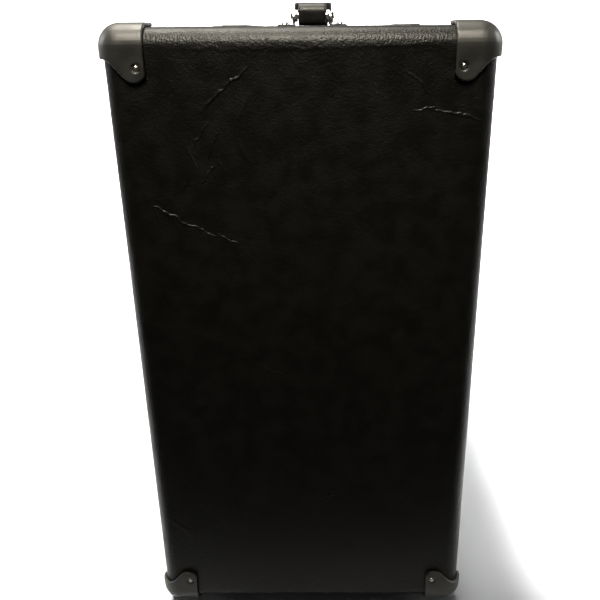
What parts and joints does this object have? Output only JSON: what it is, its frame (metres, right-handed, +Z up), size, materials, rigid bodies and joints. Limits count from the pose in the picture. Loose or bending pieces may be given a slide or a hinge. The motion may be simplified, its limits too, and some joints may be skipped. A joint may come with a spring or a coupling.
{
  "type": "tube tester",
  "caption": "Portable tube tester in an upright black vinyl-covered plywood cabinet with moulded corner protectors, a top strap handle and a recessed metal control panel with meter.",
  "frame": {"origin": "middle of the footprint, on the surface that the feet stand on", "axes": "+Z up, the control panel faces -Y, +X to the right as seen from the front, the handle runs along X"},
  "size_m": [0.436, 0.272, 0.52],
  "materials": {
    "plywood": "bare birch plywood",
    "black_vinyl": "satin black leather-grain vinyl",
    "black_plastic": "satin moulded black plastic",
    "chrome": "bright plate, slightly worn",
    "rubber": "matt black",
    "panel_metal": "brushed, lacquered",
    "bakelite": "polished moulded phenolic",
    "dial_card": "cream printed card",
    "clear_glass": "clear",
    "needle_black": "matt black",
    "zinc_steel": "zinc plated",
    "laminations": "varnished laminations",
    "red_jewel": "clear red faceted lens",
    "back_board": "matt black enamel"
  },
  "bodies": {
    "cabinet": {"left_end_board": "plywood", "right_end_board": "plywood", "top_board": "plywood", "bottom_board": "plywood", "front_batten_frame": "plywood", "rear_batten_frame": "plywood", "vinyl_covering": "black_vinyl", "corner_protector_front_left_top": "black_plastic", "corner_protector_front_right_top": "black_plastic", "corner_protector_rear_left_top": "black_plastic", "corner_protector_rear_right_top": "black_plastic", "corner_protector_front_left_bottom": "black_plastic", "corner_protector_front_right_bottom": "black_plastic", "corner_protector_rear_left_bottom": "black_plastic", "corner_protector_rear_right_bottom": "black_plastic", "vent_grille_front": "black_plastic", "vent_grille_rear": "black_plastic", "rubber_foot_front_left": "rubber", "rubber_foot_front_right": "rubber", "rubber_foot_rear_left": "rubber", "rubber_foot_rear_right": "rubber", "handle_bracket_left": "chrome", "handle_bracket_right": "chrome", "chart_bezel": "chrome", "control_panel": "panel_metal", "meter_case": "bakelite", "selector_deck": "bakelite", "button_bank": "bakelite", "toggle_body": "bakelite", "octal_socket": "bakelite", "loctal_socket": "bakelite", "seven_pin_socket": "bakelite", "noval_socket": "bakelite", "miniature_socket": "bakelite", "mains_inlet": "bakelite", "fuse_holder": "bakelite", "meter_dial": "dial_card", "meter_glass": "clear_glass", "chart_window": "clear_glass", "chart_cradle": "zinc_steel", "chassis": "zinc_steel", "power_transformer": "laminations", "pilot_lamp": "red_jewel", "rear_panel": "back_board"},
    "handle": {"handle_strap": "black_vinyl"},
    "needle": {"meter_needle": "needle_black"},
    "adjuster": {"zero_adjuster": "bakelite"},
    "toggle": {"toggle_lever": "chrome"},
    "roller_upper": {"chart_roller_upper": "bakelite"},
    "roller_lower": {"chart_roller_lower": "bakelite"},
    "filament_knob": {"filament_knob": "bakelite"},
    "bias_knob": {"bias_knob": "bakelite"},
    "load_knob": {"load_knob": "bakelite"},
    "pin_selector_knob_1": {"pin_selector_knob_1": "bakelite"},
    "pin_selector_knob_2": {"pin_selector_knob_2": "bakelite"},
    "pin_selector_knob_3": {"pin_selector_knob_3": "bakelite"},
    "pin_selector_knob_4": {"pin_selector_knob_4": "bakelite"},
    "shorts_button": {"shorts_button": "bakelite"},
    "gas_button": {"gas_button": "bakelite"},
    "value_button": {"value_button": "bakelite"}
  },
  "joints": [
    {"name": "handle_lift", "type": "slide", "parent": "cabinet", "child": "handle", "axis": [0, 0, 1], "range_m": [0, 0.0025]},
    {"name": "needle_swing", "type": "hinge", "parent": "cabinet", "child": "needle", "pos_m": [-0.095, -0.1142, 0.374], "axis": [0, 1, 0], "range_deg": [0, 90], "stiffness_Nm_per_rad": 0.0002},
    {"name": "zero_adjust", "type": "hinge", "parent": "cabinet", "child": "adjuster", "pos_m": [-0.095, -0.1193, 0.362], "axis": [0, 1, 0], "range_deg": [-30, 30]},
    {"name": "filament_select", "type": "hinge", "parent": "cabinet", "child": "filament_knob", "pos_m": [-0.12, -0.107, 0.212], "axis": [0, 1, 0], "range_deg": [-60, 240]},
    {"name": "bias_select", "type": "hinge", "parent": "cabinet", "child": "bias_knob", "pos_m": [0, -0.107, 0.212], "axis": [0, 1, 0], "range_deg": [0, 300]},
    {"name": "load_select", "type": "hinge", "parent": "cabinet", "child": "load_knob", "pos_m": [0.12, -0.107, 0.212], "axis": [0, 1, 0], "range_deg": [-90, 210]},
    {"name": "pin_selector_1", "type": "hinge", "parent": "cabinet", "child": "pin_selector_knob_1", "pos_m": [-0.135, -0.107, 0.148], "axis": [0, 1, 0], "range_deg": [-30, 270]},
    {"name": "pin_selector_2", "type": "hinge", "parent": "cabinet", "child": "pin_selector_knob_2", "pos_m": [-0.045, -0.107, 0.148], "axis": [0, 1, 0], "range_deg": [-120, 180]},
    {"name": "pin_selector_3", "type": "hinge", "parent": "cabinet", "child": "pin_selector_knob_3", "pos_m": [0.045, -0.107, 0.148], "axis": [0, 1, 0], "range_deg": [-90, 210]},
    {"name": "pin_selector_4", "type": "hinge", "parent": "cabinet", "child": "pin_selector_knob_4", "pos_m": [0.135, -0.107, 0.148], "axis": [0, 1, 0], "range_deg": [0, 300]},
    {"name": "shorts_press", "type": "slide", "parent": "cabinet", "child": "shorts_button", "axis": [0, 1, 0], "range_m": [0, 0.0035], "stiffness_N_per_m": 300, "springref_m": -0.002},
    {"name": "gas_press", "type": "slide", "parent": "cabinet", "child": "gas_button", "axis": [0, 1, 0], "range_m": [0, 0.0035], "stiffness_N_per_m": 300, "springref_m": -0.002},
    {"name": "value_press", "type": "slide", "parent": "cabinet", "child": "value_button", "axis": [0, 1, 0], "range_m": [0, 0.0035], "stiffness_N_per_m": 300, "springref_m": -0.002},
    {"name": "power_toggle", "type": "hinge", "parent": "cabinet", "child": "toggle", "pos_m": [-0.14, -0.108, 0.085], "axis": [-1, 0, 0], "range_deg": [0, 24]},
    {"name": "chart_upper_turn", "type": "hinge", "parent": "cabinet", "child": "roller_upper", "pos_m": [0, -0.093, 0.324], "axis": [1, 0, 0], "range_deg": [-3690, 3690]},
    {"name": "chart_lower_turn", "type": "hinge", "parent": "cabinet", "child": "roller_lower", "pos_m": [0, -0.093, 0.276], "axis": [1, 0, 0], "range_deg": [-3690, 3690]}
  ],
  "couplings": [
    {"joint": "chart_lower_turn", "follows": "chart_upper_turn", "ratio": 1}
  ]
}
